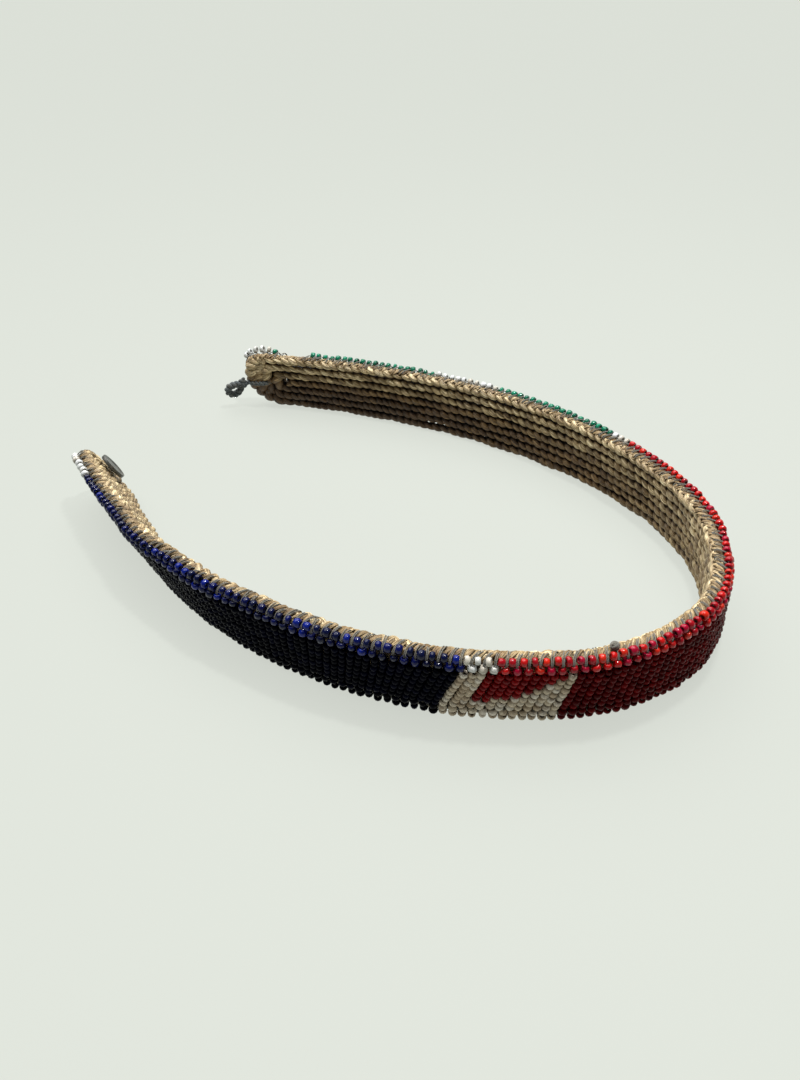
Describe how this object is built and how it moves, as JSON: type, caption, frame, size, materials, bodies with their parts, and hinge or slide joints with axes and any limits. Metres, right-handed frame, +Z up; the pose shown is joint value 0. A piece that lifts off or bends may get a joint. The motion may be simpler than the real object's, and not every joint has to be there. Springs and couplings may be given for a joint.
{
  "type": "beaded headband",
  "caption": "Open C-shaped headband of coiled grass rope with its outer face covered in glass beads, a cord loop on one tip and a button on the other.",
  "frame": {"origin": "on the floor under the middle of the whole headband, band standing on its lower edge", "axes": "+Z up; the open side of the C faces -X; the tip with the button is the one with the lower Y"},
  "size_m": [0.218, 0.1896, 0.028],
  "materials": {
    "grass_rope": "twisted plant fibre",
    "sewing_thread": "matte cotton",
    "loop_cord": "matte twisted cord",
    "dark_button": "satin",
    "white_beads": "opaque gloss",
    "blue_beads": "translucent gloss",
    "red_beads": "opaque gloss",
    "green_beads": "translucent gloss"
  },
  "bodies": {
    "near_half": {"near_rope_run": "grass_rope", "near_rope_turn_1": "grass_rope", "near_rope_turn_2": "grass_rope", "near_rope_turn_3": "grass_rope", "top_row_tip_white": "white_beads", "second_row_tip_white": "white_beads", "top_row_blue": "blue_beads", "second_row_blue": "blue_beads", "top_row_white_near": "white_beads", "second_row_white_near": "white_beads", "top_row_red_near": "red_beads", "second_row_red_near": "red_beads", "lower_pairs_tip_white": "white_beads", "lower_pairs_blue": "blue_beads", "lower_pairs_white_near": "white_beads", "lower_pairs_red_near": "red_beads", "field_tip_white": "white_beads", "field_blue": "blue_beads", "field_white_near": "white_beads", "field_red_wedge": "red_beads", "field_red_near": "red_beads", "near_rim_stitching": "sewing_thread", "thread_knot": "sewing_thread", "button_shank": "sewing_thread"},
    "far_half": {"far_rope_run": "grass_rope", "far_rope_turn_1": "grass_rope", "far_rope_turn_2": "grass_rope", "far_rope_turn_3": "grass_rope", "top_row_red_far": "red_beads", "second_row_red_far": "red_beads", "top_row_white_middle": "white_beads", "second_row_white_middle": "white_beads", "top_row_green_long": "green_beads", "second_row_green_long": "green_beads", "top_row_white_far": "white_beads", "second_row_white_far": "white_beads", "top_row_green_short": "green_beads", "second_row_green_short": "green_beads", "top_row_green_last": "green_beads", "top_row_tip_white_far": "white_beads", "second_row_tip_white_far": "white_beads", "lower_pairs_red_far": "red_beads", "lower_pairs_white_middle": "white_beads", "lower_pairs_green_long": "green_beads", "lower_pairs_white_far": "white_beads", "lower_pairs_green_short": "green_beads", "field_red_far": "red_beads", "field_white_middle": "white_beads", "field_green_long": "green_beads", "field_white_far": "white_beads", "field_green_short": "green_beads", "field_tip_white_far": "white_beads", "far_rim_stitching": "sewing_thread", "thread_tuft": "sewing_thread", "loop_anchor": "loop_cord"},
    "closure_loop": {"closure_loop": "loop_cord"},
    "button": {"button": "dark_button"}
  },
  "joints": [
    {"name": "band_flex", "type": "hinge", "parent": "near_half", "child": "far_half", "pos_m": [0.09625, -0.05928, 0.012], "axis": [0, 0, 1], "range_deg": [-8, 16], "stiffness_Nm_per_rad": 0.3},
    {"name": "loop_bend", "type": "hinge", "parent": "far_half", "child": "closure_loop", "pos_m": [-0.06181, 0.08675, 0.01144], "axis": [0, 0, 1], "range_deg": [-45, 45], "stiffness_Nm_per_rad": 0.001},
    {"name": "button_turn", "type": "hinge", "parent": "near_half", "child": "button", "pos_m": [-0.09701, 0.00999, 0.01367], "axis": [0.7413, 0.4341, 0.512], "range_deg": [-60, 60], "stiffness_Nm_per_rad": 0.0005}
  ]
}
